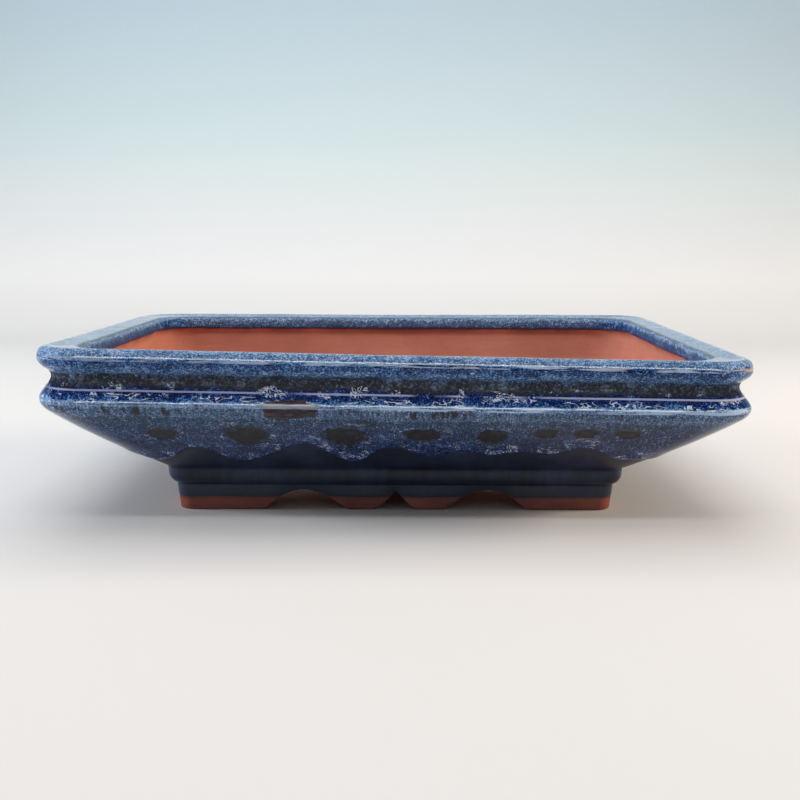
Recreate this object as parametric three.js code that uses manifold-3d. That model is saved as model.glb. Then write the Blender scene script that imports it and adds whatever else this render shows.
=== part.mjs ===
// A shallow rectangular bonsai pot, slab-built in clay: six courses of strips mitred at the corners
// round a drained floor. Millimetres, +Z up, origin on the ground under the middle of the pot,
// +X along the long side and -Y towards the front.
import * as THREE from "three";
import { mergeVertices } from "three/addons/utils/BufferGeometryUtils.js";
import Module from "manifold-3d";

const wasm = await Module();
wasm.setup();

// Driving dimensions.
const LENGTH = 310; // along X, outside the rim
const DEPTH = 240; // along Y, outside the rim
const HEIGHT = 78.5; // ground to rim

// Heights of the bed joints between courses, from the ground up.
const FOOT_TOP = 12.2;
const PLINTH_TOP = 20.5; // also the inside of the floor
const BELLY_TOP = 52;
const COLLAR_TOP = 66.6;

// Insets, measured inwards from the outside of the rim.
const NECK = 5.7; // the groove between rim and belt
const BELT_FACE = 0.15; // the belt where it is widest
const BELT_FOOT = 2.9; // where the belt meets the belly
const INSIDE = 12; // inner face of the upright wall
const PLINTH_FACE = 47.2; // where the belly lands on the plinth
const PLINTH_TOE = 51.5; // the plinth's lower edge
const FLOOR_EDGE = 57.5; // inner face of the plinth, outer edge of the floor
const FOOT_FACE = 51.7; // outer face of the feet at their top
const FOOT_TOE = 52.9; // and at the ground
const FOOT_BACK = 60.5; // inner face of the feet
const RIM_WIDTH = 15.8; // the rim overhangs the inner face of the wall
const RIM_RIDGE = 13.4; // where the rim's top turns down inside
const RIM_FALL = 1.2; // how far the top falls from its outer edge to the ridge
const RIM_LIP = 69.9; // height of the underside of the overhang
const RIM_BULGE = 73.5; // height where the rim is widest
const BELT_BULGE = 56.2; // height where the belt is widest
const FOOT_EASE = 1; // rounding of the lower outer edge of the feet

// Corner radii of the outer surface at the rim and at the plinth, and of everything inside.
const RIM_CORNER = 22;
const PLINTH_CORNER = 12;
const INNER_CORNER = 22;
const SKIN = 8; // anything deeper than this below the outer surface counts as inside

// Drainage and tying holes through the floor.
const DRAIN_RADIUS = 12;
const DRAIN_SPACING = 92;
const WIRE_RADIUS = 3;
const WIRE_SPACING = [150, 64];

const CURVE_STEPS = 5; // segments in each curve of a section
const CORNER_STEPS = 4; // segments in each half corner
const HOLE_STEPS = 24;

const SIDES = ["front", "right", "back", "left"];

const blueGlaze = new THREE.MeshStandardMaterial({ color: 0x24508f, roughness: 0.18, metalness: 0 });
const navyGlaze = new THREE.MeshStandardMaterial({ color: 0x1b2737, roughness: 0.5, metalness: 0 });
const terracotta = new THREE.MeshStandardMaterial({ color: 0xa5604a, roughness: 0.9, metalness: 0 });

// Radius of the plan's corner for a point of a section. Outside, the corners tighten down the
// belly; inside they are wide, so the clay is thicker in the corners.
function cornerRadius(inset, z) {
  const down = THREE.MathUtils.clamp((BELLY_TOP - z) / (BELLY_TOP - PLINTH_TOP), 0, 1);
  const outside = THREE.MathUtils.lerp(RIM_CORNER, PLINTH_CORNER, down);
  const depth = inset - PLINTH_FACE * down;
  return depth > SKIN ? INNER_CORNER : outside - depth;
}

// Turns a point given along and out from a side of the pot into X and Y.
function onSide(side, along, out) {
  if (side === "front") return [along, -out];
  if (side === "right") return [out, along];
  if (side === "back") return [-along, out];
  return [-out, -along];
}

// One section point at every station of a strip, from one mitre to the other.
function stations(side, inset, z) {
  const long = side === "front" || side === "back";
  const halfAlong = (long ? LENGTH : DEPTH) / 2 - inset;
  const halfOut = (long ? DEPTH : LENGTH) / 2 - inset;
  const radius = cornerRadius(inset, z);
  const points = [];
  for (const end of [-1, 1]) {
    for (let i = 0; i <= CORNER_STEPS; i++) {
      const turn = (end < 0 ? CORNER_STEPS - i : i) / CORNER_STEPS;
      const sine = turn === 1 ? Math.SQRT1_2 : Math.sin((turn * Math.PI) / 4);
      const cosine = turn === 1 ? Math.SQRT1_2 : Math.cos((turn * Math.PI) / 4);
      const along = end * (halfAlong - radius + radius * sine);
      const out = halfOut - radius + radius * cosine;
      points.push([...onSide(side, along, out), z]);
    }
  }
  return points;
}

// A closed strip along one side: the section, a THREE.Shape of inset and height, carried from
// mitre to mitre round half of each corner.
function strip(side, section) {
  const outline = section.getPoints(CURVE_STEPS);
  if (THREE.ShapeUtils.isClockWise(outline)) outline.reverse();
  const rails = outline.map((p) => stations(side, p.x, p.y));
  const count = outline.length;
  const steps = rails[0].length;
  const vertices = [];
  for (let s = 0; s < steps; s++) {
    for (const rail of rails) vertices.push(...rail[s]);
  }
  const faces = [];
  for (let s = 0; s < steps - 1; s++) {
    for (let i = 0; i < count; i++) {
      const j = (i + 1) % count;
      const [a, b, c, d] = [s * count + i, s * count + j, (s + 1) * count + j, (s + 1) * count + i];
      faces.push(a, b, c, a, c, d);
    }
  }
  const last = (steps - 1) * count;
  for (const [a, b, c] of THREE.ShapeUtils.triangulateShape(outline, [])) {
    faces.push(a, c, b);
    faces.push(last + a, last + b, last + c);
  }
  const geometry = new THREE.BufferGeometry();
  geometry.setAttribute("position", new THREE.Float32BufferAttribute(vertices, 3));
  geometry.setIndex(faces);
  return geometry;
}

function toSolid(geometry) {
  const bare = geometry.clone();
  bare.deleteAttribute("normal");
  bare.deleteAttribute("uv");
  const merged = mergeVertices(bare);
  return new wasm.Manifold(
    new wasm.Mesh({
      numProp: 3,
      vertProperties: merged.attributes.position.array,
      triVerts: new Uint32Array(merged.index.array),
    }),
  );
}

function toGeometry(solid) {
  const mesh = solid.getMesh();
  const geometry = new THREE.BufferGeometry();
  geometry.setAttribute("position", new THREE.Float32BufferAttribute(mesh.vertProperties, 3));
  geometry.setIndex([...mesh.triVerts]);
  return geometry;
}

// Sections, as inset and height.

// The rim: a heavy rolled lip, its top falling a little inwards, undercut inside.
function rimSection() {
  const ridge = HEIGHT - RIM_FALL;
  const s = new THREE.Shape();
  s.moveTo(NECK, COLLAR_TOP);
  s.lineTo(NECK - 1, COLLAR_TOP + 2);
  s.bezierCurveTo(NECK - 3.6, COLLAR_TOP + 3, 0, COLLAR_TOP + 5.2, 0, RIM_BULGE);
  s.bezierCurveTo(0, HEIGHT - 1.4, 1.6, HEIGHT, 4.4, HEIGHT);
  s.lineTo(RIM_RIDGE, ridge);
  s.bezierCurveTo(RIM_RIDGE + 1.2, ridge - 0.2, RIM_WIDTH - 0.3, ridge - 1.4, RIM_WIDTH, RIM_LIP + 3);
  s.bezierCurveTo(RIM_WIDTH, RIM_LIP + 1, RIM_WIDTH - 0.8, RIM_LIP + 0.3, RIM_WIDTH - 1.8, RIM_LIP);
  s.quadraticCurveTo(INSIDE + 0.4, RIM_LIP - 0.8, INSIDE, COLLAR_TOP);
  s.closePath();
  return s;
}

// The collar: the plain upright wall under the rim, whose top is the bottom of the groove.
function collarSection() {
  const s = new THREE.Shape();
  s.moveTo(NECK, BELLY_TOP);
  s.lineTo(NECK, COLLAR_TOP);
  s.lineTo(INSIDE, COLLAR_TOP);
  s.lineTo(INSIDE, BELLY_TOP);
  s.closePath();
  return s;
}

// The belt: a bead on the outside of the collar, its face sloping out and down to a low bulge.
function beltSection() {
  const top = COLLAR_TOP - 1;
  const s = new THREE.Shape();
  s.moveTo(NECK, BELLY_TOP);
  s.lineTo(NECK, top);
  s.bezierCurveTo(NECK - 0.2, top - 1, NECK - 0.8, top - 2.1, NECK - 1.4, top - 2.8);
  s.bezierCurveTo(NECK - 3.3, top - 5.2, BELT_FACE, BELT_BULGE + 2, BELT_FACE, BELT_BULGE);
  s.bezierCurveTo(BELT_FACE, BELT_BULGE - 1.6, BELT_FOOT - 1.3, BELLY_TOP + 1.2, BELT_FOOT, BELLY_TOP);
  s.closePath();
  return s;
}

// The belly: a sloping slab from the belt in to the plinth, a little hollow outside.
function bellySection() {
  const s = new THREE.Shape();
  s.moveTo(BELT_FOOT, BELLY_TOP);
  s.quadraticCurveTo(18, 37.8, PLINTH_FACE, PLINTH_TOP);
  s.lineTo(FLOOR_EDGE, PLINTH_TOP);
  s.lineTo(INSIDE, BELLY_TOP);
  s.closePath();
  return s;
}

// The plinth: a moulded course round the floor that steps in to the feet.
function plinthSection() {
  const nose = FOOT_TOP + 1.7;
  const s = new THREE.Shape();
  s.moveTo(PLINTH_FACE, PLINTH_TOP);
  s.bezierCurveTo(
    PLINTH_FACE + 0.4, PLINTH_TOP - 2.5,
    PLINTH_FACE + 0.1, nose + 1.6,
    PLINTH_FACE + 1.9, nose,
  );
  s.quadraticCurveTo(PLINTH_FACE + 2.9, nose - 1, PLINTH_TOE, nose - 1.3);
  s.lineTo(PLINTH_TOE, FOOT_TOP);
  s.lineTo(FLOOR_EDGE, FOOT_TOP);
  s.lineTo(FLOOR_EDGE, PLINTH_TOP);
  s.closePath();
  return s;
}

// A foot rail: upright behind, its face leaning in a little towards the ground.
function footSection() {
  const s = new THREE.Shape();
  s.moveTo(FOOT_FACE, FOOT_TOP);
  s.lineTo(FOOT_TOE, FOOT_EASE);
  s.quadraticCurveTo(FOOT_TOE, 0, FOOT_TOE + FOOT_EASE, 0);
  s.lineTo(FOOT_BACK, 0);
  s.lineTo(FOOT_BACK, FOOT_TOP);
  s.closePath();
  return s;
}

// The cut-outs under a foot rail: two arches and, between them, a pointed notch that leaves a
// pair of rounded lobes. Distances are from the middle of the side.
const LONG_CUTS = { foot: 61, crown: 43, lobe: 22.5, notch: 10.5, rise: 9.4, point: 9 };
const SHORT_CUTS = { foot: 42, crown: 30, lobe: 17, notch: 8.5, rise: 9.4, point: 8.4 };
const CUT_START = -2; // cutters begin below the ground

function archShape(c) {
  const s = new THREE.Shape();
  s.moveTo(c.lobe, CUT_START);
  s.lineTo(c.lobe, 0);
  s.bezierCurveTo(
    c.lobe + 0.31 * (c.crown - c.lobe), 0.45 * c.rise,
    c.lobe + 0.65 * (c.crown - c.lobe), c.rise,
    c.crown, c.rise,
  );
  s.bezierCurveTo(
    c.crown + 0.43 * (c.foot - c.crown), c.rise,
    c.foot - 0.17 * (c.foot - c.crown), 0.48 * c.rise,
    c.foot, 0,
  );
  s.lineTo(c.foot, CUT_START);
  s.closePath();
  return s;
}

function notchShape(c) {
  const s = new THREE.Shape();
  s.moveTo(-c.notch, CUT_START);
  s.lineTo(-c.notch, 0);
  s.bezierCurveTo(-0.66 * c.notch, 0.1 * c.point, -0.38 * c.notch, 0.5 * c.point, 0, c.point);
  s.bezierCurveTo(0.38 * c.notch, 0.5 * c.point, 0.66 * c.notch, 0.1 * c.point, c.notch, 0);
  s.lineTo(c.notch, CUT_START);
  s.closePath();
  return s;
}

// A cutter through the rail of one side, from a shape drawn as distance along and height.
function cutter(side, shape, mirrored) {
  const out = (side === "front" || side === "back" ? DEPTH : LENGTH) / 2 - FOOT_BACK;
  const thickness = FOOT_BACK - FOOT_FACE;
  const geometry = new THREE.ExtrudeGeometry(shape, {
    depth: thickness + 4,
    bevelEnabled: false,
    curveSegments: CURVE_STEPS + 1,
  });
  geometry.rotateX(Math.PI / 2);
  geometry.translate(0, -out + 2, 0);
  if (mirrored) geometry.rotateZ(Math.PI);
  if (mirrored) geometry.translate(0, -2 * out - thickness, 0);
  geometry.rotateZ((SIDES.indexOf(side) * Math.PI) / 2);
  return toSolid(geometry);
}

function footRail(side) {
  const cuts = side === "front" || side === "back" ? LONG_CUTS : SHORT_CUTS;
  const arch = archShape(cuts);
  return toGeometry(
    toSolid(strip(side, footSection()))
      .subtract(cutter(side, arch, false))
      .subtract(cutter(side, arch, true))
      .subtract(cutter(side, notchShape(cuts), false)),
  );
}

// The floor: a slab inside the plinth, with two drainage holes and four holes for tying wire.
function floorSlab() {
  const plate = new THREE.Shape(
    SIDES.flatMap((side) => stations(side, FLOOR_EDGE, PLINTH_TOP).slice(1)).map(
      ([x, y]) => new THREE.Vector2(x, y),
    ),
  );
  const bore = (x, y, radius) => {
    const hole = new THREE.Path();
    hole.absarc(x, y, radius, 0, Math.PI * 2, true);
    plate.holes.push(hole);
  };
  for (const sx of [-1, 1]) {
    bore((sx * DRAIN_SPACING) / 2, 0, DRAIN_RADIUS);
    for (const sy of [-1, 1]) bore((sx * WIRE_SPACING[0]) / 2, (sy * WIRE_SPACING[1]) / 2, WIRE_RADIUS);
  }
  const geometry = new THREE.ExtrudeGeometry(plate, {
    depth: PLINTH_TOP - FOOT_TOP,
    bevelEnabled: false,
    curveSegments: HOLE_STEPS / 2,
  });
  geometry.translate(0, 0, FOOT_TOP);
  return geometry;
}

const COURSES = [
  ["rim", (side) => strip(side, rimSection()), blueGlaze],
  ["collar", (side) => strip(side, collarSection()), blueGlaze],
  ["belt", (side) => strip(side, beltSection()), blueGlaze],
  ["belly", (side) => strip(side, bellySection()), blueGlaze],
  ["plinth", (side) => strip(side, plinthSection()), navyGlaze],
  ["foot_rail", footRail, navyGlaze],
];

const pot = new THREE.Group();
function add(name, geometry, material) {
  const mesh = new THREE.Mesh(geometry, material);
  mesh.name = name;
  pot.add(mesh);
}

add("floor_slab", floorSlab(), terracotta);
for (const [course, shape, material] of COURSES) {
  for (const side of SIDES) add(`${side}_${course}`, shape(side), material);
}

export default pot;
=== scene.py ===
import math

import bpy
import numpy as np
from mathutils import Matrix, Vector, geometry


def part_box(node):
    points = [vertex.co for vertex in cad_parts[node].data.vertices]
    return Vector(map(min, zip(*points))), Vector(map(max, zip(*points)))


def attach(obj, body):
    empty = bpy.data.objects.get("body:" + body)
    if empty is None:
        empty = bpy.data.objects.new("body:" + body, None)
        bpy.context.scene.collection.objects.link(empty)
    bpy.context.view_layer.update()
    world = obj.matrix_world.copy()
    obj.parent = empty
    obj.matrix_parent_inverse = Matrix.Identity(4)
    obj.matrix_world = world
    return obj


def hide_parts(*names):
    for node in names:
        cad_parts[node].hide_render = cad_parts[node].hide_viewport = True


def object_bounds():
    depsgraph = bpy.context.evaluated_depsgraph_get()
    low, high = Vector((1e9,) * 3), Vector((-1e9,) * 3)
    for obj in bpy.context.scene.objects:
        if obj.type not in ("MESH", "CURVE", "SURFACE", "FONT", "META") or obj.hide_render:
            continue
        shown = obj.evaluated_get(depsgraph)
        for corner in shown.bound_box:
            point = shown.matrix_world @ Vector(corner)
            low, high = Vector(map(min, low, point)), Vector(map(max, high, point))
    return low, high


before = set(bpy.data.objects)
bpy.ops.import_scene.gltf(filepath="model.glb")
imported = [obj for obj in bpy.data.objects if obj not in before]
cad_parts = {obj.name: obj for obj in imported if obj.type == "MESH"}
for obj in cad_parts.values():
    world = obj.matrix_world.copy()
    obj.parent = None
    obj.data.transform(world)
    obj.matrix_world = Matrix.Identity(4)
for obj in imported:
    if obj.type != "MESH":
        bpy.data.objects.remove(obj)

CAD_BOX = [list(corner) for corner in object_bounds()]
MM = 0.001


# ---- sizes read from the frame

def top_of(node):
    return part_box(node)[1][2] / MM


def face_of(node):
    """How far a node's front is in from the rim's, which every inset is counted from."""
    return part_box(node)[0][1] / MM + DEPTH / 2


LOW, HIGH = np.array(CAD_BOX) / MM
LENGTH, DEPTH, HEIGHT = HIGH - LOW
FOOT_TOP, FOOT_FACE = top_of("front_foot_rail"), face_of("front_foot_rail")
PLINTH_TOP, PLINTH_FACE = top_of("front_plinth"), face_of("front_plinth")
BELLY_TOP, BELT_FOOT = top_of("front_belly"), face_of("front_belly")
COLLAR_TOP, NECK = top_of("front_collar"), face_of("front_collar")
BELT_FACE = face_of("front_belt")
FLOOR_EDGE = face_of("floor_slab")

# Section sizes inside the nodes' boxes: insets and heights.
INSIDE = 12.0
PLINTH_TOE, FOOT_TOE, FOOT_BACK = 51.5, 52.9, 60.5
RIM_WIDTH, RIM_RIDGE, RIM_BROW, RIM_FALL, RIM_LIP, RIM_BULGE = 15.8, 13.4, 4.4, 1.2, 69.9, 73.5
BELT_BULGE = 56.2
SOLE_ROUNDING = 1.2
# Corner radii in plan. The outer ones hold to a depth of SKIN below the surface, and the inner one
# holds from SKIN_END on.
RIM_CORNER, PLINTH_CORNER, INNER_CORNER, SKIN, SKIN_END = 22.0, 12.0, 22.0, 8.0, 12.0
DRAIN_RADIUS, DRAIN_SPACING, DRAIN_SIDES = 12.0, 92.0, 64
WIRE_RADIUS, WIRE_SPACING, WIRE_SIDES = 3.0, (150.0, 64.0), 24

# The fired pot is a little twisted: how far its rim rises at the right end and drops at the left,
# in front and behind, and how far its back rises.
TWIST_FRONT, TWIST_BACK, BACK_LIFT = -2.5, 0.42, 0.7
# It is bowed a little too, and sags a little: how far, and over what length.
BOW, BOW_WAVE = 0.35, 95
SAG, SAG_WAVE = 0.3, 110

SIDES = ("front", "right", "back", "left")
LONG_SIDES = ("front", "back")
FINE = 1.0
STRAIGHT_STEP = 0.8 * FINE
CORNER_STEPS = int(18 / FINE)
GLAZE_STEP = 0.5 * FINE
CLAY_STEP = 1.5 * FINE


# ---- smooth noise

def lattice(ix, iy, iz, seed):
    """A pseudo-random value from 0 to 1 at each whole-number point."""
    h = (ix * 374761393 + iy * 668265263 + iz * 2147483647 + seed * 1274126177) & 0xFFFFFFFF
    h = ((h ^ (h >> 13)) * 1103515245) & 0xFFFFFFFF
    h = ((h ^ (h >> 16)) * 2246822519) & 0xFFFFFFFF
    return (h ^ (h >> 15)) / 4294967295.0


def noise(points, wavelength, seed):
    """Value noise from -1 to 1 at points in millimetres."""
    q = np.asarray(points, float) / wavelength
    cell = np.floor(q).astype(np.int64)
    t = q - cell
    t = t * t * t * (t * (6 * t - 15) + 10)
    total = np.zeros(q.shape[:-1])
    for step in np.ndindex(2, 2, 2):
        wx, wy, wz = (t[..., k] if step[k] else 1 - t[..., k] for k in range(3))
        ix, iy, iz = (cell[..., k] + step[k] for k in range(3))
        total += wx * wy * wz * lattice(ix, iy, iz, seed)
    return 2 * total - 1


def smooth(low, high, value):
    t = np.clip((value - low) / (high - low), 0, 1)
    return t * t * (3 - 2 * t)


# ---- the wall's section

def curve(*controls):
    """A straight line between two points, or a Bezier curve on three or four."""
    weights = {
        2: lambda t: (1 - t, t),
        3: lambda t: ((1 - t) ** 2, 2 * t * (1 - t), t * t),
        4: lambda t: ((1 - t) ** 3, 3 * t * (1 - t) ** 2, 3 * t * t * (1 - t), t**3),
    }[len(controls)]
    return lambda t: sum(np.outer(w, p) for w, p in zip(weights(t), controls))


def section_runs():
    """The visible section from the inside of the floor, over the rim, down to the back of the foot,
    as (landmark at its end, step, curves). Its points are (inset, height)."""
    ridge = HEIGHT - RIM_FALL
    belt_top = COLLAR_TOP - 1.0
    belt_neck = (NECK - 1.4, belt_top - 2.8)
    nose = FOOT_TOP + 1.7
    face = PLINTH_FACE
    lip, lip_edge = (RIM_WIDTH - 1.8, RIM_LIP), (RIM_WIDTH, RIM_LIP + 3)
    return [
        ("inner_slope", CLAY_STEP, [curve((FLOOR_EDGE, PLINTH_TOP), (INSIDE, BELLY_TOP))]),
        ("inner_wall", CLAY_STEP, [curve((INSIDE, BELLY_TOP), (INSIDE, COLLAR_TOP))]),
        ("lip", GLAZE_STEP, [curve((INSIDE, COLLAR_TOP), (INSIDE + 0.4, RIM_LIP - 0.8), lip)]),
        ("ridge", GLAZE_STEP, [
            curve(lip, (RIM_WIDTH - 0.8, RIM_LIP + 0.3), (RIM_WIDTH, RIM_LIP + 1), lip_edge),
            curve(lip_edge, (RIM_WIDTH - 0.3, ridge - 1.4), (RIM_RIDGE + 1.2, ridge - 0.2),
                  (RIM_RIDGE, ridge)),
        ]),
        ("brow", GLAZE_STEP, [curve((RIM_RIDGE, ridge), (RIM_BROW, HEIGHT))]),
        ("bulge", GLAZE_STEP, [
            curve((RIM_BROW, HEIGHT), (1.6, HEIGHT), (0, HEIGHT - 1.4), (0, RIM_BULGE)),
        ]),
        ("neck", GLAZE_STEP, [
            curve((0, RIM_BULGE), (0, COLLAR_TOP + 5.2), (NECK - 3.6, COLLAR_TOP + 3),
                  (NECK - 1, COLLAR_TOP + 2)),
            curve((NECK - 1, COLLAR_TOP + 2), (NECK, COLLAR_TOP)),
        ]),
        ("groove", GLAZE_STEP, [curve((NECK, COLLAR_TOP), (NECK, belt_top))]),
        ("belt", GLAZE_STEP / 2, [
            curve((NECK, belt_top), (NECK - 0.2, belt_top - 1), (NECK - 0.8, belt_top - 2.1),
                  belt_neck),
            curve(belt_neck, (NECK - 3.3, belt_top - 5.2), (BELT_FACE, BELT_BULGE + 2),
                  (BELT_FACE, BELT_BULGE)),
        ]),
        ("belt_foot", GLAZE_STEP, [
            curve((BELT_FACE, BELT_BULGE), (BELT_FACE, BELT_BULGE - 1.6),
                  (BELT_FOOT - 1.3, BELLY_TOP + 1.2), (BELT_FOOT, BELLY_TOP)),
        ]),
        ("belly", GLAZE_STEP, [curve((BELT_FOOT, BELLY_TOP), (18, 37.8), (face, PLINTH_TOP))]),
        ("plinth", GLAZE_STEP, [
            curve((face, PLINTH_TOP), (face + 0.4, PLINTH_TOP - 2.5), (face + 0.1, nose + 1.6),
                  (face + 1.9, nose)),
            curve((face + 1.9, nose), (face + 2.9, nose - 1), (PLINTH_TOE, nose - 1.3)),
            curve((PLINTH_TOE, nose - 1.3), (FOOT_FACE, FOOT_TOP)),
        ]),
        ("fascia", GLAZE_STEP, [curve((FOOT_FACE, FOOT_TOP), (FOOT_TOE, SOLE_ROUNDING))]),
        ("sole", GLAZE_STEP, [
            curve((FOOT_TOE, SOLE_ROUNDING), (FOOT_TOE, 0), (FOOT_TOE + SOLE_ROUNDING, 0)),
            curve((FOOT_TOE + SOLE_ROUNDING, 0), (FOOT_BACK - 0.8, 0)),
            curve((FOOT_BACK - 0.8, 0), (FOOT_BACK, 0), (FOOT_BACK, 0.8)),
        ]),
        ("foot_back", CLAY_STEP, [curve((FOOT_BACK, 0.8), (FOOT_BACK, FOOT_TOP))]),
    ]


def build_chain():
    """Points of the visible section, the index of each landmark, and the distance run along it."""
    points = [np.array([[FLOOR_EDGE, PLINTH_TOP]])]
    marks = {"floor": 0}
    count = 1
    for name, step, parts in section_runs():
        for part in parts:
            t = np.linspace(0, 1, 200)
            length = np.linalg.norm(np.diff(part(t), axis=0), axis=1)
            along = np.concatenate([[0], np.cumsum(length)])
            n = max(2, int(round(along[-1] / step)))
            t = np.interp(np.linspace(0, along[-1], n + 1), along, t)
            points.append(part(t)[1:])
            count += n
        marks[name] = count - 1
    chain = soften(np.vstack(points), marks)
    run = np.concatenate([[0], np.cumsum(np.linalg.norm(np.diff(chain, axis=0), axis=1))])
    return chain, marks, run


def soften(chain, marks):
    """Rounds the creases as glaze and a wet finger do. The ends stay put, and so do the soles."""
    kept = chain.copy()
    passes = max(1, round(3 / FINE**2))  # of a smoothing that reaches one step
    for _ in range(passes):
        middle = 0.25 * chain[:-2] + 0.5 * chain[1:-1] + 0.25 * chain[2:]
        chain = np.vstack([chain[:1], middle, chain[-1:]])
    still = slice(marks["fascia"], marks["foot_back"])
    chain[still] = kept[still]
    return chain


CHAIN, MARK, RUN = build_chain()
AT = {name: RUN[index] for name, index in MARK.items()}


def run_at(height):
    """Distance along the section where the outer surface comes down to a height."""
    outer = slice(MARK["brow"], MARK["sole"])
    return float(np.interp(-height, -CHAIN[outer, 1], RUN[outer]))


# ---- the plan

def corner_radius(inset, z):
    """In plan. Near the outer surface it shrinks with the inset, and towards the plinth."""
    down = np.clip((BELLY_TOP - z) / (BELLY_TOP - PLINTH_TOP), 0, 1)
    outside = RIM_CORNER + (PLINTH_CORNER - RIM_CORNER) * down
    depth = inset - PLINTH_FACE * down
    inside = smooth(SKIN, SKIN_END, depth)
    return outside - depth + (INNER_CORNER - outside + depth) * inside


def side_stations(side):
    """(share of the straight, turn of the corner) at each station from mitre to mitre."""
    straight = (LENGTH if side in LONG_SIDES else DEPTH) - 2 * RIM_CORNER
    n = int(round(straight / STRAIGHT_STEP))
    turns = np.linspace(1, 0, CORNER_STEPS + 1)[:-1]
    ends = np.ones(CORNER_STEPS)
    share = np.concatenate([-ends, np.linspace(-1, 1, n + 1), ends])
    turn = np.concatenate([-turns, np.zeros(n + 1), turns[::-1]])
    return share, turn


def turn_to(side, along, out):
    """X and Y of a point given along and out from a side."""
    return {"front": (along, -out), "right": (out, along),
            "back": (-along, out), "left": (-out, -along)}[side]


def place(side, inset, z, share, turn):
    """Positions, distance along the side, and where on the rim each point's glaze ran from."""
    size_along, size_out = (LENGTH, DEPTH) if side in LONG_SIDES else (DEPTH, LENGTH)
    radius = corner_radius(inset, z)
    straight = share * (size_along / 2 - inset - radius)
    centre = size_out / 2 - inset - radius
    angle = turn * math.pi / 4
    x, y = turn_to(side, straight + radius * np.sin(angle), centre + radius * np.cos(angle))
    reach = radius + inset
    start = turn_to(side, straight + reach * np.sin(angle), centre + reach * np.cos(angle))
    return np.stack([x, y, z + 0 * x], -1), straight + radius * angle, np.stack(start, -1)


# ---- feet

# From the middle of a side: where the pointed notch ends, where the next foot ends, where the arch
# is highest and where the corner foot begins; then the arch's height and the notch's.
LONG_CUTS = (10.5, 22.5, 43.0, 61.0, 9.4, 9.0)
SHORT_CUTS = (8.5, 17.0, 30.0, 42.0, 9.4, 8.4)


def cut_height(side, along):
    """Height of the cut-outs under a foot rail at a distance along its side."""
    notch, lobe, crown, foot, rise, point = LONG_CUTS if side in LONG_SIDES else SHORT_CUTS
    near, far = crown - lobe, foot - crown
    t = np.linspace(0, 1, 60)
    outline = np.vstack([part(t) for part in (
        curve((0, point), (0.38 * notch, 0.5 * point), (0.66 * notch, 0.1 * point), (notch, 0)),
        curve((lobe, 0), (lobe + 0.31 * near, 0.45 * rise), (lobe + 0.65 * near, rise),
              (crown, rise)),
        curve((crown, rise), (crown + 0.43 * far, rise), (foot - 0.17 * far, 0.48 * rise),
              (foot, 0)),
    )])
    return np.interp(np.abs(along), outline[:, 0], outline[:, 1], right=0)


# ---- the glaze's pattern

# Lower edge of the thick glaze on the front, its low and high points by turns: (distance along,
# inset).
FRONT_EDGE = [
    (-118, 34), (-109, 38), (-88.5, 25), (-70, 37.5), (-40, 22), (-19.5, 37.8), (-3, 23.7),
    (16, 32), (29, 27), (42, 30.2), (53, 27), (66, 29.5), (83, 22.6), (103, 33.5), (118, 34),
]
# Bare-looking hollows where the glaze ran thin: (distance along, inset, half width, half height).
FRONT_EYES = [
    (-101, 15, 6.2, 4.2), (-65, 16, 9.6, 6.4), (-22.5, 16, 9.8, 6.6), (11.5, 14, 8.0, 3.8),
    (41, 15.2, 6.2, 5.4), (64.3, 11.8, 5.6, 3.2), (81.5, 11.8, 5.0, 4.0), (99.6, 11.6, 5.4, 3.0),
]
# The worn patch on the belt: its middle along, half its width, a height in it and how far it
# reaches above and below that.
PATCH_MIDDLE, PATCH_HALF, PATCH_HEIGHT, PATCH_ABOVE, PATCH_BELOW = -45.1, 11.9, 56.3, 3.4, 7.2
DRIP_SPACING = 31
LONG_REACH, SHORT_REACH, END_INSET = 118, 83, 34  # ends of the glaze's lower edge
GLAZE_FOOT = 6.1  # height where the navy glaze ends on the feet
GROOVE_HAIRLINE = 61.7  # height of the fine ridge above the belt
OUTSIDE, FAR = 9.0, 20.0  # values of a field well away from its hollows, and from its edge


def edge_of(side):
    """The lower edge of the thick glaze and its hollows on one side, random but for the front."""
    if side == "front":
        return FRONT_EDGE, FRONT_EYES
    rng = np.random.default_rng(SIDES.index(side) + 11)
    reach = LONG_REACH if side in LONG_SIDES else SHORT_REACH
    lows = np.arange(-reach + 12, reach - 8, DRIP_SPACING)
    lows = lows + rng.uniform(-5, 5, len(lows))
    edge = [(-reach, END_INSET)]
    for i, low in enumerate(lows):
        edge.append((low, rng.uniform(30, 38)))
        if i + 1 < len(lows):
            edge.append(((low + lows[i + 1]) / 2 + rng.uniform(-2, 2), rng.uniform(22, 27)))
    edge.append((reach, END_INSET))
    eyes = [
        (low + rng.uniform(-5, 3), rng.uniform(12, 16), rng.uniform(4.5, 9), rng.uniform(2.4, 5))
        for low in lows
    ]
    return edge, eyes


def wavy(points, along):
    """A rounded wave through low and high points."""
    xs, ys = np.array(points).T
    i = np.clip(np.searchsorted(xs, along) - 1, 0, len(xs) - 2)
    t = np.clip((along - xs[i]) / (xs[i + 1] - xs[i]), 0, 1)
    return ys[i] + (ys[i + 1] - ys[i]) * (0.5 - 0.5 * np.cos(math.pi * t))


def worn_patch(run, along, spot):
    """Distance out from the worn patch on the front of the belt, and less than 0 on it."""
    away = np.abs(along - PATCH_MIDDLE)
    down = run - run_at(PATCH_HEIGHT)
    share = (away / PATCH_HALF) ** 2
    arch = -PATCH_ABOVE * np.sqrt(np.clip(1 - share, 0, 1))
    sides = away - PATCH_HALF + 0.34 * np.maximum(down, 0)
    hem = down - PATCH_BELOW + 2.0 * share + 1.1 * noise(spot, 5.5, 14)
    ragged = 0.6 * noise(spot, 2.6, 12) + 0.45 * noise(spot, 0.9, 13)
    return np.maximum(sides, np.maximum(arch - down, hem)) + ragged


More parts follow.
